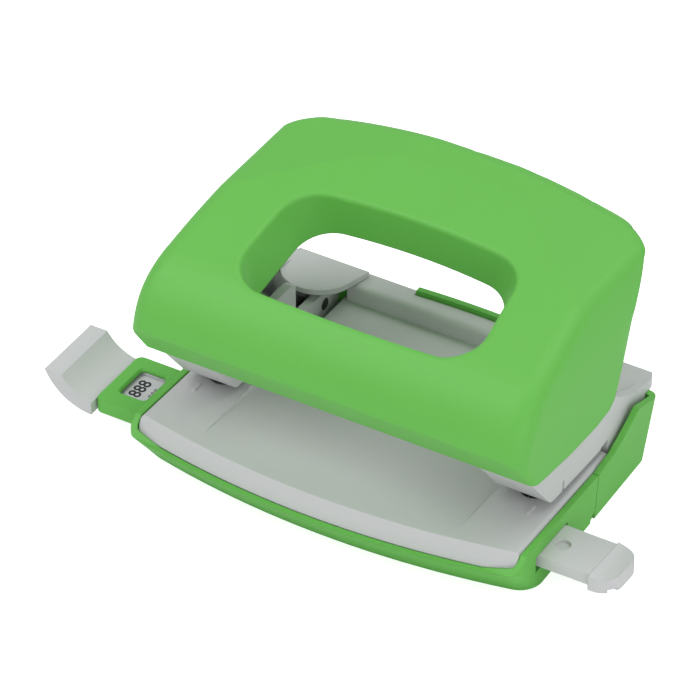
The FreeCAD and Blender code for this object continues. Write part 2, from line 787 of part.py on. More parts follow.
def rounded_polygon(points, radius, z):
    """A closed wire through (x, y) corners with equal round corners."""
    corners = [Vector(x, y, z) for x, y in points]
    joints = []
    for i, corner in enumerate(corners):
        to_last = (corners[i - 1] - corner).normalize()
        to_next = (corners[(i + 1) % len(corners)] - corner).normalize()
        half = to_last.getAngle(to_next) / 2
        inward = (to_last + to_next).normalize()
        centre = corner + inward * (radius / math.sin(half))
        reach = radius / math.tan(half)
        joints.append((corner + to_last * reach, centre - inward * radius, corner + to_next * reach))
    edges = []
    for i, (start, middle, end) in enumerate(joints):
        edges.append(line(joints[i - 1][2], start))
        edges.append(arc(start, middle, end))
    return Part.Wire(edges)


def handle_profile(inset):
    """The handle's side outline, left open far below and behind, moved inward by an inset."""
    lip = Vector(0, *lip_bottom)
    crease = Vector(0, *lip_crease)
    foot = lip + (lip - crease)
    middle = Vector(0, *front_end)
    top = Vector(0, *top_end)
    peak = Vector(0, ridge_y + ridge_round, handle_height)
    back = Vector(0, far, handle_height)
    below = Vector(0, far, foot.z)
    front = arc(crease, Vector(0, *front_mid), middle)
    roof = arc(middle, Vector(0, *top_mid), top)
    edges = [line(foot, crease), front, roof, line(top, peak), line(peak, back), line(back, below)]
    edges.append(line(below, foot))
    wire = Part.Wire(edges)
    if inset:
        wire = wire.makeOffset2D(-inset)
    return Part.Face(wire).extrude(Vector(2 * far, 0, 0)).translate(Vector(-far, 0, 0))


def handle_section(inset):
    """The handle seen from the front: upright sides that bend inward above."""
    half = handle_half - inset
    bend = handle_side_radius - inset
    centre_x = handle_half - handle_side_radius
    top = handle_height + handle_wall
    angle = math.asin((top - handle_side_start) / bend)
    ends = (Vector(half, -far, handle_side_start), Vector(centre_x + bend * math.cos(angle), -far, top))
    middle_z = handle_side_start + bend * math.sin(angle / 2)
    middle = Vector(centre_x + bend * math.cos(angle / 2), -far, middle_z)
    foot = Vector(half, -far, 0)
    edges = [line(foot, ends[0]), arc(ends[0], middle, ends[1]), line(ends[1], mirror_point(ends[1])),
             arc(mirror_point(ends[1]), mirror_point(middle), mirror_point(ends[0])),
             line(mirror_point(ends[0]), mirror_point(foot)), line(mirror_point(foot), foot)]
    return Part.Face(Part.Wire(edges)).extrude(Vector(0, 2 * far, 0))


def handle_crown(inset):
    """A wide barrel that rounds the handle's top from side to side."""
    centre_z = handle_height - crown_radius
    return rod(crown_radius - inset, (0, -far, centre_z), 2 * far, (0, 1, 0))


def handle_plan(inset):
    """The handle seen from above: a bowed back edge with round corners."""
    rear_half = rear_half_start + rear_half_slope * (far + side_start_y)
    wire = outline(0, rear_half_start - inset, rear_half - inset, inset - ridge_y, ridge_radius - inset,
                   ridge_corner_radius - inset, far, ridge_radius, rear_corner_radius)
    plan = Part.Face(wire).extrude(Vector(0, 0, handle_height + 2 * handle_wall))
    return plan.mirror(Vector(0, 0, 0), Vector(0, 1, 0))


def top_edges(block):
    """The edges where the handle's top meets its back and its sides."""
    ridge = [e for e in block.Edges if min(v.Y for v in e.Vertexes) > top_end[0] + edge_round
             and min(v.Z for v in e.Vertexes) > arm_bracket_z + handle_wall]
    sides = [e for e in block.Edges if abs(e.CenterOfMass.x) > opening_half_front
             and min(v.Z for v in e.Vertexes) > arm_bracket_z - handle_wall
             and max(v.Z for v in e.Vertexes) < top_end[1]
             and max(v.Y for v in e.Vertexes) < ridge_y - handle_wall]
    return ridge + sides


def handle_block(inset):
    """The handle as a full solid, moved inward by an inset."""
    block = handle_profile(inset).common(handle_section(inset)).common(handle_plan(inset))
    return block.common(handle_crown(inset)).removeSplitter()


def opening_cutter(grow):
    """The finger opening with leaning side walls."""
    wires = []
    for z in (lip_crease[1], handle_height + handle_wall):
        lean = opening_draft * (z - opening_level) + grow
        wires.append(outline(z, opening_half_front + lean, opening_half_back + lean, opening_front_y - grow,
                             opening_front_bow, opening_front_corner + grow, opening_back_y + grow,
                             opening_back_bow, opening_back_corner + grow))
    return Part.makeLoft(wires, True, True)


def rounded_handle():
    """The handle as a full solid with its finger opening, rounded along all visible edges."""
    block = handle_block(0)
    block = block.makeFillet(ridge_round, top_edges(block))
    crease = [e for e in block.Edges if e.Length > handle_half
              and abs(e.CenterOfMass.y - lip_crease[0]) < seat_gap]
    block = block.makeFillet(edge_round, crease).cut(opening_cutter(0))
    low_y = opening_front_y - seat_gap
    high_y = opening_back_y + seat_gap
    opening = [e for e in block.Edges if all(v.Z > handle_side_start and abs(v.X) < opening_half_front
                                             and low_y < v.Y < high_y for v in e.Vertexes)]
    return block.makeFillet(opening_round, opening)


def handle_shell():
    """The green handle cover with its finger opening and the ribs for the lever arms."""
    outer = rounded_handle()
    collar_room = side_prism(collar_line + [(collar_line[1][0], far), (collar_line[0][0], far)], -far, far)
    collar = opening_cutter(collar_wall).common(outer).common(collar_room)
    rib = box(arm_inner + arm_width + rib_gap, rib_outer, rib_y[0], rib_y[1], rib_bottom, far).common(outer)
    shell = outer.cut(handle_block(handle_wall))
    shell = shell.fuse([collar, rib, mirrored(rib)]).cut(opening_cutter(0))
    below = [(-far, 0), (-far, lip_bottom[1]), lip_bottom] + handle_edge_points
    below += [(far, handle_edge_points[-1][1]), (far, 0)]
    shell = shell.cut(side_prism(below, -far, far))
    for y in lever_screw_y:
        hole = rod(lever_screw_diameter / 2, (arm_inner - lever_head_depth, y, lever_screw_z),
                   lever_screw_length + lever_head_depth, across)
        shell = shell.cut(hole).cut(mirrored(hole))
    return shell.removeSplitter()


def lever_arm():
    """The right steel arm between hinge, pin and handle."""
    hinge = Vector(0, hinge_y, hinge_z)
    knee = Vector(0, arm_knee_y, pad_z)
    way = (hinge - knee).normalize()
    low = hinge + Vector(0, way.z, -way.y) * arm_boss_radius
    under = [(-pad_half_length, pad_z), (arm_knee_y, pad_z), (low.y, low.z), (hinge_y, hinge_z)]
    bracket = [(arm_bracket_y[1], arm_bracket_z), (arm_bracket_y[0], arm_bracket_z)]
    tip_z = pad_z + arm_height
    front = [(arm_bracket_y[0], tip_z + arm_front_rise), (-pad_half_length, tip_z)]
    side = under + arm_step_points + [arm_back_point] + bracket + front
    arm = side_prism(side, arm_inner, arm_inner + arm_width)
    arm = arm.fuse(rod(arm_boss_radius, (arm_inner, hinge_y, hinge_z), arm_width, across))
    bore_radius = hinge_pin_diameter / 2 + hinge_running_clearance
    through = arm_width + 2 * over
    arm = arm.cut(rod(bore_radius, (arm_inner - over, hinge_y, hinge_z), through, across))
    for y in lever_screw_y:
        arm = arm.cut(rod(lever_screw_diameter / 2, (arm_inner - over, y, lever_screw_z), through, across))
    return arm.removeSplitter()


def lever_screws():
    """Four screws that hold the lever arms to the handle's ribs."""
    screws = []
    z = lever_screw_z
    half = screw_drive_width / 2
    reach = lever_screw_head * screw_drive_share
    head_x = arm_inner - lever_head_depth
    drive_x = (head_x - over, head_x + screw_drive_depth)
    for y in lever_screw_y:
        head = rod(lever_screw_head / 2, (head_x, y, z), lever_head_depth, across)
        shank = rod(lever_screw_diameter / 2, (arm_inner, y, z), lever_screw_length, across)
        slot = box(*drive_x, y - reach, y + reach, z - half, z + half)
        cross = box(*drive_x, y - half, y + half, z - reach, z + reach)
        screw = head.fuse(shank).cut(slot).cut(cross)
        screws += [screw, mirrored(screw)]
    return Part.makeCompound(screws)


def guide_bar():
    """The sliding bar with its scale channel, side notches and locating peg."""
    left_x = stop_foot_x - tab_overlap
    bar = box(left_x, bar_right_x, bar_front_y, bar_back_y, bar_bottom, bar_top)
    half = scale_width / 2
    scale = box(scale_start_x, rail_half_length, bar_middle_y - half, bar_middle_y + half,
                bar_top - scale_depth, bar_top + over)
    bar = bar.cut(scale)
    notches = []
    for i in range(int((rail_half_length + peg_x) // notch_pitch)):
        x = rail_half_length - notch_pitch * i
        notches.append(box(x, x + notch_width, bar_back_y - notch_depth, bar_back_y + over, 0, hull_top))
    bar = bar.cut(Part.makeCompound(notches))
    peg_hole = rod(peg_diameter / 2, (peg_x, bar_middle_y, bar_top - scale_depth), far, up)
    return bar.cut(peg_hole)


def guide_stop():
    """The curved end stop that the paper edge rests against."""
    foot_low = Vector(stop_foot_x, stop_front_y, bar_bottom)
    foot_high = Vector(stop_foot_x, stop_front_y, bar_top + bar_slip)
    ramp = Vector(stop_face_x + stop_ramp_back, stop_front_y, bar_top + stop_ramp_rise)
    wall = Vector(stop_wall_x, stop_front_y, stop_top)
    top = Vector(stop_outer_x, stop_front_y, stop_top)
    under = Vector(stop_outer_x + stop_under[0], stop_front_y, stop_under[1])
    inner_face = arc(foot_high, ramp, wall)
    outer_face = arc(top, under, foot_low)
    edges = [line(foot_low, foot_high), inner_face, line(wall, top), outer_face]
    body = Part.Face(Part.Wire(edges)).extrude(Vector(0, stop_span, 0))
    bar_end = box(stop_foot_x - tab_overlap, far, bar_front_y, bar_back_y, bar_bottom, bar_top)
    return body.cut(bar_end)


def guide_tab():
    """The rounded end tab on the right of the guide bar."""
    end_x = bar_right_x + tab_length
    top = bar_top
    front_y = bar_front_y - tab_bulge
    back_y = bar_back_y + tab_bulge
    body = box(bar_right_x, end_x, front_y, back_y, bar_bottom - tab_lip, top)
    ends = [e for e in body.Edges if abs(e.Vertexes[0].Z - e.Vertexes[1].Z) > bar_thickness / 2
            and e.Vertexes[0].X > bar_right_x + seat_gap]
    body = body.makeFillet(tab_round, ends)
    recess = box(bar_right_x - over, end_x - tab_rim, front_y + tab_rim, back_y - tab_rim, 0, bar_bottom)
    for y in rail_places():
        recess = recess.fuse(box(-far, far, y - rail_gap, y + rail_width + rail_gap, 0, bar_bottom))
    dish_z = top + tab_dish_radius - tab_dish_depth
    thumb = rod(tab_dish_radius, (bar_right_x + tab_dish_x, -far, dish_z), 2 * far, (0, 1, 0))
    return body.cut(recess).cut(thumb)


def save(name, shape):
    """Writes one piece and prints its size."""
    shape.exportStep("parts/" + name + ".step")
    print(name, "solids", len(shape.Solids), "volume", round(shape.Volume, 2), "valid", shape.isValid())


def save_pair(name, shape):
    """Writes a right piece and its mirror image on the left."""
    save("right_" + name, shape)
    save("left_" + name, mirrored(shape))


def spring_gap():
    """The least clear gap between turns of the spring, from points on its centre line."""
    radius = spring_mean_diameter / 2
    low = flange_top + spring_wire / 2
    pitch = (clip_z - spring_wire / 2 - low) / spring_turns
    step = 2 * math.pi / gap_samples
    count = int(spring_turns * gap_samples) + 1
    path = [helix_point(step * i, hole_x, radius, low, pitch) for i in range(count)]
    half_turn = gap_samples // 2
    return min(a.distanceToPoint(b) for i, a in enumerate(path) for b in path[i + half_turn:]) - spring_wire


def main():
    """Builds and writes every piece."""
    os.makedirs("parts", exist_ok=True)
    print("spring least gap", round(spring_gap(), 3))
    save("base_plate", base_plate())
    save_pair("punch_frame", punch_frame())
    save_pair("die", die())
    save_pair("pin_bush", pin_bush())
    save_pair("hinge_pin", hinge_pin())
    save("rear_shell", rear_shell())
    save("base_screws", base_screws())
    save("rear_pads", Part.makeCompound(pads(rear_pad_x, rear_pad_y, pad_depth, 0)))
    save("handle_shell", handle_shell())
    save_pair("lever_arm", lever_arm())
    save("lever_screws", lever_screws())
    save_pair("punch_pin", punch_pin())
    save_pair("pin_clip", pin_clip())
    save_pair("pin_spring", pin_spring())
    save("chip_tray", chip_tray())
    save("front_pads", Part.makeCompound(pads(front_pad_x, front_pad_y, pad_depth, 0)))
    save("guide_bar", guide_bar())
    save("guide_stop", guide_stop())
    save("guide_tab", guide_tab())


main()
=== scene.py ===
import math

import bmesh
import bpy
import numpy as np
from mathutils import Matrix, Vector


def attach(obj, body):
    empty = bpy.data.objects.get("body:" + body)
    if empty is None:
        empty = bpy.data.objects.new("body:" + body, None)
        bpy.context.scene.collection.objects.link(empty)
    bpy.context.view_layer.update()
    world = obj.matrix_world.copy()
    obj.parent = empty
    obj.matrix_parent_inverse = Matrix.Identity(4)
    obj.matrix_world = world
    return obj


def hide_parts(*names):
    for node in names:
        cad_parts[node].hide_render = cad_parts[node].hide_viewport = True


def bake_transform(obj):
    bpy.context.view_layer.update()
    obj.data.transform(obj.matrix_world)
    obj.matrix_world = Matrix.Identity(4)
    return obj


# A small two-hole desk punch, dressed around its solids. Sizes are in metres.

# Camera, fitted to the straight edges of the photograph
CAMERA_AZIMUTH = 30.7
CAMERA_ELEVATION = 37.2
CAMERA_LENS = 360.0
SENSOR_WIDTH = 36.0
CAMERA_DISTANCE = 1.5556
CAMERA_TARGET = (0.0, 0.020, 0.020)
CAMERA_SHIFT = (-0.1069, 0.0124)

# Paper guide markings
LABEL_X = -0.0556
LABEL_Y = -0.0089
LABEL_THICKNESS = 0.00012
LABEL_LENGTH = 0.0104
LABEL_START_X = -0.0612
LABEL_END_X = 0.0457
LABEL_CORNER = 0.0004
LABEL_SHADE = 0.93
LABEL_ROUGHNESS = 0.55
INK_ROUGHNESS = 0.5
INK_SHADE = 2.0
INK_HALF_THICKNESS = 0.00003
ARC_STEPS = 6
DIGIT_HEIGHT = 0.0042
DIGIT_RAISE = 0.0012
MARK_HEIGHT = 0.0015
MARK_DROP = 0.0019
STROKE_SHARE = 0.012
CURVE_STEPS = 6
BAR_TOP = 0.0090
BAR_MIDDLE_Y = -0.00955
SCALE_DEPTH = 0.0008
HOLE_MARKS = "o o o"
FORMAT_MARKS = {"888": 0.0, "A6": 0.0055, "A5": 0.0365, "A4": 0.0800}

# Pin places, and the return springs from the bush's flange to the pin's clip
SIDES = {"right": 0.040, "left": -0.040}
MERGE_DISTANCE = 0.000001

# Colours, linear
# The *_LIGHT colours and PIN_LIGHT serve as edge colours: edge wear together with a painted edge
# highlight. STEEL_LIGHT is also the pin steel's own colour.
GREEN = (0.150, 0.555, 0.080)
GREEN_LIGHT = (0.235, 0.66, 0.15)
GREY = (0.67, 0.668, 0.67)
GREY_LIGHT = (0.80, 0.80, 0.80)
STEEL = (0.46, 0.46, 0.47)
STEEL_LIGHT = (0.72, 0.72, 0.74)
WIRE = (0.36, 0.36, 0.38)
RUBBER = (0.018, 0.018, 0.019)
RUBBER_LIGHT = (0.05, 0.05, 0.052)
LABEL = (0.70, 0.68, 0.72)
INK = (0.012, 0.012, 0.014)
ZINC = (0.55, 0.55, 0.52)
ZINC_LIGHT = (0.80, 0.80, 0.78)
PIN_LIGHT = (0.86, 0.86, 0.88)
FLOOR = (0.95, 0.95, 0.95)
SKY = (0.95, 0.97, 1.0)
WHITE = (1.0, 1.0, 1.0)

# Floor and surroundings
FLOOR_HALF = 3.0
FLOOR_ROUGHNESS = 0.9
FLOOR_SPECULAR = 0.1
FLOOR_GLOW = 0.75
VIEW_END = 20.0
SKY_STRENGTH = 0.47

# Lights, as (place, size, power)
LIGHTS = {
    "key_light": ((-0.45, -0.35, 0.75), 0.60, 2.7),
    "top_light": ((0.25, 0.35, 0.95), 0.80, 2.9),
    "fill_light": ((0.70, -0.45, 0.30), 0.60, 1.6),
}

# Edge mark, grain and tool marks shared by the materials
BEVEL_SAMPLES = 6
EDGE_RADIUS = 0.0004
EDGE_NOISE_SCALE = 400.0
EDGE_NOISE_DETAIL = 4.0
FLAT_COSINE = 0.995
SHARP_COSINE = 0.86
GRAIN_SCALE = 2500.0
GRAIN_STRENGTH = 0.1
GRAIN_DETAIL = 5.0
GRAIN_HEIGHT = 0.00005
CLOUD_SCALE = 40.0
CLOUD_DETAIL = 2.0
CLOUD_SHADE = 0.955
MARKS_STRENGTH = 0.2
MARKS_DETAIL = 6.0
MARKS_HEIGHT = 0.00003
MARKS_SHADE = 0.8
# Share of the lighter edge colour: edge wear together with a painted edge highlight.
WEAR_AND_HIGHLIGHT_SHARE = 0.55
PLASTIC_IOR = 1.5
COAT_ROUGHNESS = 0.3
SUBSURFACE_RADIUS = (0.6, 1.0, 0.4)
SUBSURFACE_SCALE = 0.0004
PLASTIC_ROUGHNESS_SPREAD = (-0.05, 0.06)
METAL_ROUGHNESS_SPREAD = (-0.08, 0.12)
PRINT_GRAIN_SCALE = 6000.0
PRINT_GRAIN_STRENGTH = 0.05
PRINT_CLOUD_SCALE = 900.0

# The colour sockets of a mix node
MIX_LOW = 6
MIX_HIGH = 7
MIX_RESULT = 2

# Materials, by name
# Each material's second colour goes on its edges: edge wear together with a painted edge highlight.
PLASTICS = {
    "green_plastic": dict(colour=GREEN, wear_and_highlight_colour=GREEN_LIGHT, roughness=0.50, coat=0.0, subsurface=0.12,
                          grain_scale=2600.0, grain_strength=0.10, edge_radius=0.00045),
    "grey_plastic": dict(colour=GREY, wear_and_highlight_colour=GREY_LIGHT, roughness=0.46, coat=0.04, subsurface=0.10,
                         grain_scale=2600.0, grain_strength=0.12, edge_radius=0.00030),
    "rubber": dict(colour=RUBBER, wear_and_highlight_colour=RUBBER_LIGHT, roughness=0.82, coat=0.0, subsurface=0.0,
                   grain_scale=1800.0, grain_strength=0.5, edge_radius=0.00015),
}
METALS = {
    "turned_steel": dict(colour=STEEL, wear_and_highlight_colour=STEEL_LIGHT, roughness=0.26, stretch=(60.0, 60.0, 9000.0),
                         strength=0.35, edge_radius=0.00008),
    "pin_steel": dict(colour=STEEL_LIGHT, wear_and_highlight_colour=PIN_LIGHT, roughness=0.16, stretch=(60.0, 60.0, 12000.0),
                      strength=0.15, edge_radius=0.00006),
    "stamped_steel": dict(colour=STEEL, wear_and_highlight_colour=STEEL_LIGHT, roughness=0.34, stretch=(3000.0, 160.0, 900.0),
                          strength=0.30, edge_radius=0.00020),
    "zinc_screws": dict(colour=ZINC, wear_and_highlight_colour=ZINC_LIGHT, roughness=0.30, stretch=(2200.0, 2200.0, 300.0),
                        strength=0.25, edge_radius=0.00008),
    "spring_wire": dict(colour=WIRE, wear_and_highlight_colour=STEEL, roughness=0.24, stretch=(500.0, 500.0, 5000.0),
                        strength=0.2, edge_radius=0.00003),
}

# The material of each solid; PAIRS come on the right and on the left
SINGLES = {
    "green_plastic": ["handle_shell", "rear_shell", "chip_tray"],
    "grey_plastic": ["base_plate", "guide_bar", "guide_stop", "guide_tab"],
    "zinc_screws": ["base_screws", "lever_screws"],
    "rubber": ["front_pads", "rear_pads"],
}
PAIRS = {
    "grey_plastic": ["punch_frame"],
    "turned_steel": ["die", "pin_bush", "hinge_pin"],
    "pin_steel": ["punch_pin"],
    "stamped_steel": ["lever_arm", "pin_clip"],
    "spring_wire": ["pin_spring"],
}


def new_object(name, data):
    """An object in the scene that holds a mesh, curve, light or camera."""
    thing = bpy.data.objects.new(name, data)
    bpy.context.scene.collection.objects.link(thing)
    return thing


def socket_value(node, name, value):
    """Sets one input of a node by its name."""
    node.inputs[name].default_value = value


def colour4(colour):
    """A colour with full alpha."""
    return (*colour, 1.0)


def new_group(name, inputs, outputs):
    """An empty node group with typed inputs, as (name, type, default), and outputs."""
    group = bpy.data.node_groups.new(name, "ShaderNodeTree")
    for label, kind, default in inputs:
        socket = group.interface.new_socket(label, in_out="INPUT", socket_type=kind)
        socket.default_value = default
    for label, kind in outputs:
        group.interface.new_socket(label, in_out="OUTPUT", socket_type=kind)
    return group, group.nodes.new("NodeGroupInput"), group.nodes.new("NodeGroupOutput")


def math_node(nodes, operation, value=None):
    """A math node with an optional second value."""
    node = nodes.new("ShaderNodeMath")
    node.operation = operation
    if value is not None:
        node.inputs[1].default_value = value
    return node


def edge_group():
    """Marks edges, where a rounded normal and the face normal differ, broken up by noise."""
    group, start, end = new_group(
        "edge_mark",
        [("Radius", "NodeSocketFloat", EDGE_RADIUS), ("Noise scale", "NodeSocketFloat", EDGE_NOISE_SCALE)],
        [("Mask", "NodeSocketFloat"), ("Normal", "NodeSocketVector")])
    nodes, links = group.nodes, group.links
    bevel = nodes.new("ShaderNodeBevel")
    bevel.samples = BEVEL_SAMPLES
    geometry = nodes.new("ShaderNodeNewGeometry")
    dot = nodes.new("ShaderNodeVectorMath")
    dot.operation = "DOT_PRODUCT"
    place = nodes.new("ShaderNodeTexCoord")
    noise = nodes.new("ShaderNodeTexNoise")
    socket_value(noise, "Detail", EDGE_NOISE_DETAIL)
    spread = nodes.new("ShaderNodeMapRange")
    socket_value(spread, "From Min", FLAT_COSINE)
    socket_value(spread, "From Max", SHARP_COSINE)
    product = math_node(nodes, "MULTIPLY")
    links.new(start.outputs["Radius"], bevel.inputs["Radius"])
    links.new(bevel.outputs["Normal"], dot.inputs[0])
    links.new(geometry.outputs["Normal"], dot.inputs[1])
    links.new(dot.outputs["Value"], spread.inputs["Value"])
    links.new(place.outputs["Object"], noise.inputs["Vector"])
    links.new(start.outputs["Noise scale"], noise.inputs["Scale"])
    links.new(spread.outputs["Result"], product.inputs[0])
    links.new(noise.outputs["Fac"], product.inputs[1])
    links.new(product.outputs["Value"], end.inputs["Mask"])
    links.new(bevel.outputs["Normal"], end.inputs["Normal"])
    return group


def grain_group():
    """A fine moulded grain: two sizes of noise as height, and a slow cloud for colour and roughness."""
    group, start, end = new_group(
        "moulded_grain",
        [("Grain scale", "NodeSocketFloat", GRAIN_SCALE), ("Strength", "NodeSocketFloat", GRAIN_STRENGTH),
         ("Cloud scale", "NodeSocketFloat", CLOUD_SCALE), ("Normal", "NodeSocketVector", (0.0, 0.0, 0.0))],
        [("Normal", "NodeSocketVector"), ("Cloud", "NodeSocketFloat"), ("Grain", "NodeSocketFloat")])
    nodes, links = group.nodes, group.links
    place = nodes.new("ShaderNodeTexCoord")
    grain = nodes.new("ShaderNodeTexVoronoi")
    grain.feature = "SMOOTH_F1"
    fine = nodes.new("ShaderNodeTexNoise")
    socket_value(fine, "Detail", GRAIN_DETAIL)
    cloud = nodes.new("ShaderNodeTexNoise")
    socket_value(cloud, "Detail", CLOUD_DETAIL)
    total = math_node(nodes, "ADD")
    bump = nodes.new("ShaderNodeBump")
    socket_value(bump, "Distance", GRAIN_HEIGHT)
    for texture in (grain, fine, cloud):
        links.new(place.outputs["Object"], texture.inputs["Vector"])
    links.new(start.outputs["Grain scale"], grain.inputs["Scale"])
    links.new(start.outputs["Grain scale"], fine.inputs["Scale"])
    links.new(start.outputs["Cloud scale"], cloud.inputs["Scale"])
    links.new(grain.outputs["Distance"], total.inputs[0])
    links.new(fine.outputs["Fac"], total.inputs[1])
    links.new(total.outputs["Value"], bump.inputs["Height"])
    links.new(start.outputs["Strength"], bump.inputs["Strength"])
    links.new(start.outputs["Normal"], bump.inputs["Normal"])
    links.new(bump.outputs["Normal"], end.inputs["Normal"])
    links.new(cloud.outputs["Fac"], end.inputs["Cloud"])
    links.new(total.outputs["Value"], end.inputs["Grain"])
    return group


def brushed_group():
    """Tool marks: noise drawn out along one axis, as height and as a value for roughness."""
    group, start, end = new_group(
        "tool_marks",
        [("Stretch", "NodeSocketVector", (1.0, 1.0, 1.0)), ("Strength", "NodeSocketFloat", MARKS_STRENGTH),
         ("Normal", "NodeSocketVector", (0.0, 0.0, 0.0))],
        [("Normal", "NodeSocketVector"), ("Lines", "NodeSocketFloat")])
    nodes, links = group.nodes, group.links
    place = nodes.new("ShaderNodeTexCoord")
    scale = nodes.new("ShaderNodeVectorMath")
    scale.operation = "MULTIPLY"
    lines = nodes.new("ShaderNodeTexNoise")
    socket_value(lines, "Scale", 1.0)
    socket_value(lines, "Detail", MARKS_DETAIL)
    bump = nodes.new("ShaderNodeBump")
    socket_value(bump, "Distance", MARKS_HEIGHT)
    links.new(place.outputs["Object"], scale.inputs[0])
    links.new(start.outputs["Stretch"], scale.inputs[1])
    links.new(scale.outputs["Vector"], lines.inputs["Vector"])
    links.new(lines.outputs["Fac"], bump.inputs["Height"])
    links.new(start.outputs["Strength"], bump.inputs["Strength"])
    links.new(start.outputs["Normal"], bump.inputs["Normal"])
    links.new(bump.outputs["Normal"], end.inputs["Normal"])
    links.new(lines.outputs["Fac"], end.inputs["Lines"])
    return group


EDGE = edge_group()
GRAIN = grain_group()
BRUSHED = brushed_group()


def add_group(material, group):
    """A node that uses one of the shared groups."""
    node = material.node_tree.nodes.new("ShaderNodeGroup")
    node.node_tree = group
    return node


def mix_colours(material, low, high):
    """A colour mix node between two colours."""
    node = material.node_tree.nodes.new("ShaderNodeMix")
    node.data_type = "RGBA"
    node.inputs[MIX_LOW].default_value = colour4(low)
    node.inputs[MIX_HIGH].default_value = colour4(high)
    return node


def map_range(material, low, high):
    """Maps 0 to 1 onto a range."""
    node = material.node_tree.nodes.new("ShaderNodeMapRange")
    socket_value(node, "To Min", low)
    socket_value(node, "To Max", high)
    return node


def shaded(colour, share):
    """A colour made darker or lighter by a share."""
    return tuple(channel * share for channel in colour)


def base_material(name):
    """A material with its shader node."""
    material = bpy.data.materials.new(name)
    material.use_nodes = True
    return material, material.node_tree.nodes["Principled BSDF"]


def plastic(name, colour, wear_and_highlight_colour, roughness, grain_scale, grain_strength, edge_radius, coat, subsurface):
    """Moulded plastic: slow colour cloud, fine grain, softened edges, and lighter edges that are edge wear
    together with a painted edge highlight.
    """
    material, shader = base_material(name)
    links = material.node_tree.links
    edge = add_group(material, EDGE)
    socket_value(edge, "Radius", edge_radius)
    grain = add_group(material, GRAIN)
    socket_value(grain, "Grain scale", grain_scale)
    socket_value(grain, "Strength", grain_strength)
    cloud_mix = mix_colours(material, shaded(colour, CLOUD_SHADE), colour)
    # Lighter edges: edge wear together with a painted edge highlight.
    wear_and_highlight_mix = mix_colours(material, colour, wear_and_highlight_colour)
    wear_and_highlight_share = map_range(material, 0.0, WEAR_AND_HIGHLIGHT_SHARE)
    rough_range = map_range(material, *(roughness + offset for offset in PLASTIC_ROUGHNESS_SPREAD))
    links.new(edge.outputs["Normal"], grain.inputs["Normal"])
    links.new(grain.outputs["Cloud"], cloud_mix.inputs[0])
    links.new(cloud_mix.outputs[MIX_RESULT], wear_and_highlight_mix.inputs[MIX_LOW])
    links.new(edge.outputs["Mask"], wear_and_highlight_share.inputs["Value"])
    links.new(wear_and_highlight_share.outputs["Result"], wear_and_highlight_mix.inputs[0])
    links.new(wear_and_highlight_mix.outputs[MIX_RESULT], shader.inputs["Base Color"])
    links.new(grain.outputs["Cloud"], rough_range.inputs["Value"])
    links.new(rough_range.outputs["Result"], shader.inputs["Roughness"])
    links.new(grain.outputs["Normal"], shader.inputs["Normal"])
    socket_value(shader, "IOR", PLASTIC_IOR)
    socket_value(shader, "Coat Weight", coat)
    socket_value(shader, "Coat Roughness", COAT_ROUGHNESS)
    socket_value(shader, "Subsurface Weight", subsurface)
    socket_value(shader, "Subsurface Radius", SUBSURFACE_RADIUS)
    socket_value(shader, "Subsurface Scale", SUBSURFACE_SCALE)
    return material


def metal(name, colour, wear_and_highlight_colour, roughness, stretch, strength, edge_radius):
    """Metal with tool marks, brighter along its edges: edge wear together with a painted edge highlight.
    """
    material, shader = base_material(name)
    links = material.node_tree.links
    edge = add_group(material, EDGE)
    socket_value(edge, "Radius", edge_radius)
    marks = add_group(material, BRUSHED)
    socket_value(marks, "Stretch", stretch)
    socket_value(marks, "Strength", strength)
    line_mix = mix_colours(material, shaded(colour, MARKS_SHADE), colour)
    # Brighter edges: edge wear together with a painted edge highlight.
    wear_and_highlight_mix = mix_colours(material, colour, wear_and_highlight_colour)
    rough_range = map_range(material, *(roughness + offset for offset in METAL_ROUGHNESS_SPREAD))
    links.new(edge.outputs["Normal"], marks.inputs["Normal"])
    links.new(marks.outputs["Lines"], line_mix.inputs[0])
    links.new(line_mix.outputs[MIX_RESULT], wear_and_highlight_mix.inputs[MIX_LOW])
    links.new(edge.outputs["Mask"], wear_and_highlight_mix.inputs[0])
    links.new(wear_and_highlight_mix.outputs[MIX_RESULT], shader.inputs["Base Color"])
    links.new(marks.outputs["Lines"], rough_range.inputs["Value"])
    links.new(rough_range.outputs["Result"], shader.inputs["Roughness"])
    links.new(marks.outputs["Normal"], shader.inputs["Normal"])
    socket_value(shader, "Metallic", 1.0)
    return material


def printed(name, colour, shade, roughness):
    """Matt print or label stock with a faint mottle."""
    material, shader = base_material(name)
    links = material.node_tree.links
    grain = add_group(material, GRAIN)
    socket_value(grain, "Grain scale", PRINT_GRAIN_SCALE)
    socket_value(grain, "Strength", PRINT_GRAIN_STRENGTH)
    socket_value(grain, "Cloud scale", PRINT_CLOUD_SCALE)
    mix = mix_colours(material, shade, colour)
    links.new(grain.outputs["Cloud"], mix.inputs[0])
    links.new(mix.outputs[MIX_RESULT], shader.inputs["Base Color"])
    links.new(grain.outputs["Normal"], shader.inputs["Normal"])
    socket_value(shader, "Roughness", roughness)
    return material


def dress_nodes(nodes):
    """Gives each solid of the frame its material."""
    materials = {name: plastic(name, **values) for name, values in PLASTICS.items()}
    materials.update({name: metal(name, **values) for name, values in METALS.items()})
    for kind, material in materials.items():
        paired = [side + "_" + piece for piece in PAIRS.get(kind, []) for side in SIDES]
        for name in SINGLES.get(kind, []) + paired:
            mesh = nodes[name].data
            mesh.materials.clear()
            mesh.materials.append(material)


def add_mesh(name, points, faces, material, body):
    """A mesh piece at the origin that rides on a body."""
    mesh = bpy.data.meshes.new(name)
    mesh.from_pydata([tuple(p) for p in points], [], [tuple(f) for f in faces])
    mesh.validate()
    mesh.materials.append(material)
    piece = new_object(name, mesh)
    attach(piece, body)
    return piece


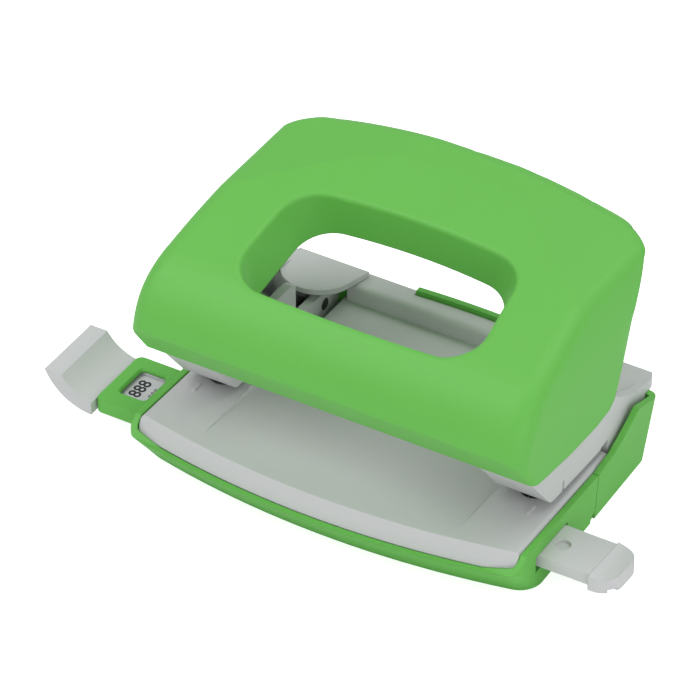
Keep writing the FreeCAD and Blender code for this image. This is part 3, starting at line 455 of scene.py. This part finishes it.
def rounded_plate(name, centre, size, corner, height, material, body):
    """A thin plate with round corners: arcs at (cx + r cos t, cy + r sin t), pulled up by its height."""
    half_x, half_y = size[0] / 2 - corner, size[1] / 2 - corner
    ring = []
    for quarter, (sx, sy) in enumerate([(1, 1), (-1, 1), (-1, -1), (1, -1)]):
        corner_x = centre[0] + sx * half_x
        corner_y = centre[1] + sy * half_y
        angles = np.linspace(quarter * math.pi / 2, (quarter + 1) * math.pi / 2, ARC_STEPS)
        ring += [(corner_x + corner * math.cos(t), corner_y + corner * math.sin(t)) for t in angles]
    count = len(ring)
    points = [(x, y, centre[2]) for x, y in ring] + [(x, y, centre[2] + height) for x, y in ring]
    sides = [(i, (i + 1) % count, count + (i + 1) % count, count + i) for i in range(count)]
    faces = [tuple(range(count))[::-1], tuple(range(count, 2 * count))] + sides
    return add_mesh(name, points, faces, material, body)


def printed_text(name, text, place, height, material, body):
    """Flat ink characters that read along Y, with their tops towards the left."""
    curve = bpy.data.curves.new(name, "FONT")
    curve.body = text
    curve.align_x = "CENTER"
    curve.align_y = "CENTER"
    curve.size = height
    curve.extrude = INK_HALF_THICKNESS
    curve.offset = height * STROKE_SHARE
    curve.resolution_u = CURVE_STEPS
    holder = new_object(name + "_draft", curve)
    mesh = bpy.data.meshes.new_from_object(holder)
    bpy.data.objects.remove(holder)
    for vertex in mesh.vertices:
        x, y, z = vertex.co
        vertex.co = (place[0] - y, place[1] + x, place[2] + z)
    mesh.name = name
    mesh.materials.clear()
    mesh.materials.append(material)
    piece = new_object(name, mesh)
    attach(piece, body)
    return piece


def guide_markings():
    """Labels in the guide bar's channel, each with its format and small hole marks."""
    stock = printed("label_stock", LABEL, shaded(LABEL, LABEL_SHADE), LABEL_ROUGHNESS)
    ink = printed("label_ink", INK, shaded(INK, INK_SHADE), INK_ROUGHNESS)
    floor_z = BAR_TOP - SCALE_DEPTH
    ink_z = floor_z + LABEL_THICKNESS + INK_HALF_THICKNESS
    middle = ((LABEL_START_X + LABEL_END_X) / 2, BAR_MIDDLE_Y, floor_z)
    size = (LABEL_END_X - LABEL_START_X, LABEL_LENGTH)
    strip = rounded_plate("label_strip", middle, size, LABEL_CORNER, LABEL_THICKNESS, stock, "guide")
    for text, travel in FORMAT_MARKS.items():
        centre_x = LABEL_X + travel
        digit_place = (centre_x - DIGIT_RAISE, LABEL_Y, ink_z)
        digits = printed_text("format_" + text, text, digit_place, DIGIT_HEIGHT, ink, "guide")
        mark_place = (centre_x + MARK_DROP, LABEL_Y, ink_z)
        marks = printed_text("marks_" + text, HOLE_MARKS, mark_place, MARK_HEIGHT, ink, "guide")


def return_springs(nodes):
    """Return springs: each pin spring's mesh, with its doubled points merged, in an object of its own; the
    original is hidden.
    """
    for side, x in SIDES.items():
        node = nodes[side + "_pin_spring"]
        mesh = node.data.copy()
        mesh.transform(node.matrix_world)
        work = bmesh.new()
        work.from_mesh(mesh)
        bmesh.ops.remove_doubles(work, verts=work.verts, dist=MERGE_DISTANCE)
        work.to_mesh(mesh)
        work.free()
        spring = new_object(side + "_return_spring", mesh)
        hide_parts(side + "_pin_spring")
        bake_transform(spring)


def area_light(name, place, size, power):
    """A square light that points at the object."""
    light = bpy.data.lights.new(name, "AREA")
    light.size = size
    light.energy = power
    lamp = new_object(name, light)
    lamp.location = place
    lamp.rotation_euler = (Vector(CAMERA_TARGET) - Vector(place)).to_track_quat("-Z", "Y").to_euler()


def studio():
    """White surroundings, a pale floor and soft area lights."""
    scene = bpy.context.scene
    scene.view_settings.view_transform = "Standard"
    world = bpy.data.worlds.new("studio")
    scene.world = world
    world.use_nodes = True
    nodes, links = world.node_tree.nodes, world.node_tree.links
    background = nodes["Background"]
    socket_value(background, "Color", colour4(SKY))
    socket_value(background, "Strength", SKY_STRENGTH)
    seen = nodes.new("ShaderNodeBackground")
    socket_value(seen, "Color", colour4(WHITE))
    socket_value(seen, "Strength", 1.0)
    path = nodes.new("ShaderNodeLightPath")
    mix = nodes.new("ShaderNodeMixShader")
    either = math_node(nodes, "MAXIMUM")
    links.new(path.outputs["Is Camera Ray"], either.inputs[0])
    links.new(path.outputs["Is Transmission Ray"], either.inputs[1])
    links.new(either.outputs["Value"], mix.inputs["Fac"])
    links.new(background.outputs["Background"], mix.inputs[1])
    links.new(seen.outputs["Background"], mix.inputs[2])
    links.new(mix.outputs["Shader"], nodes["World Output"].inputs["Surface"])
    for name, (place, size, power) in LIGHTS.items():
        area_light(name, place, size, power)


def floor():
    """A wide pale floor, lifted to white for the camera, that shows only soft shade under the object."""
    material, shader = base_material("floor")
    socket_value(shader, "Base Color", colour4(FLOOR))
    socket_value(shader, "Roughness", FLOOR_ROUGHNESS)
    socket_value(shader, "Specular IOR Level", FLOOR_SPECULAR)
    socket_value(shader, "Emission Color", colour4(FLOOR))
    path = material.node_tree.nodes.new("ShaderNodeLightPath")
    glow = math_node(material.node_tree.nodes, "MULTIPLY", FLOOR_GLOW)
    material.node_tree.links.new(path.outputs["Is Camera Ray"], glow.inputs[0])
    material.node_tree.links.new(glow.outputs["Value"], shader.inputs["Emission Strength"])
    corners = [(x * FLOOR_HALF, y * FLOOR_HALF, 0) for x, y in ((-1, -1), (1, -1), (1, 1), (-1, 1))]
    mesh = bpy.data.meshes.new("floor")
    mesh.from_pydata(corners, [], [range(len(corners))])
    mesh.materials.append(material)
    new_object("floor", mesh)


def camera():
    """The photograph's viewpoint."""
    azimuth = math.radians(CAMERA_AZIMUTH)
    elevation = math.radians(CAMERA_ELEVATION)
    back = Vector((math.sin(azimuth) * math.cos(elevation), -math.cos(azimuth) * math.cos(elevation),
                   math.sin(elevation)))
    data = bpy.data.cameras.new("camera")
    data.lens = CAMERA_LENS
    data.sensor_width = SENSOR_WIDTH
    data.clip_end = VIEW_END
    data.shift_x, data.shift_y = CAMERA_SHIFT
    eye = new_object("camera", data)
    eye.location = Vector(CAMERA_TARGET) + back * CAMERA_DISTANCE
    eye.rotation_euler = (-back).to_track_quat("-Z", "Y").to_euler()
    bpy.context.scene.camera = eye


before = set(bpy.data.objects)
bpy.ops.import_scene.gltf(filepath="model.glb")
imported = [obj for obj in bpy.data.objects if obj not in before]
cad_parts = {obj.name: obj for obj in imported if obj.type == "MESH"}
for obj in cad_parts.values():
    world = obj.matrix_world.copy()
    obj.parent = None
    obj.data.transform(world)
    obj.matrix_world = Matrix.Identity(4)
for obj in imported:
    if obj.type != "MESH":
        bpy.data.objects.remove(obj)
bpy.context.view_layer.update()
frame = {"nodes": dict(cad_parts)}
camera()
studio()
floor()
dress_nodes(frame["nodes"])
return_springs(frame["nodes"])
guide_markings()
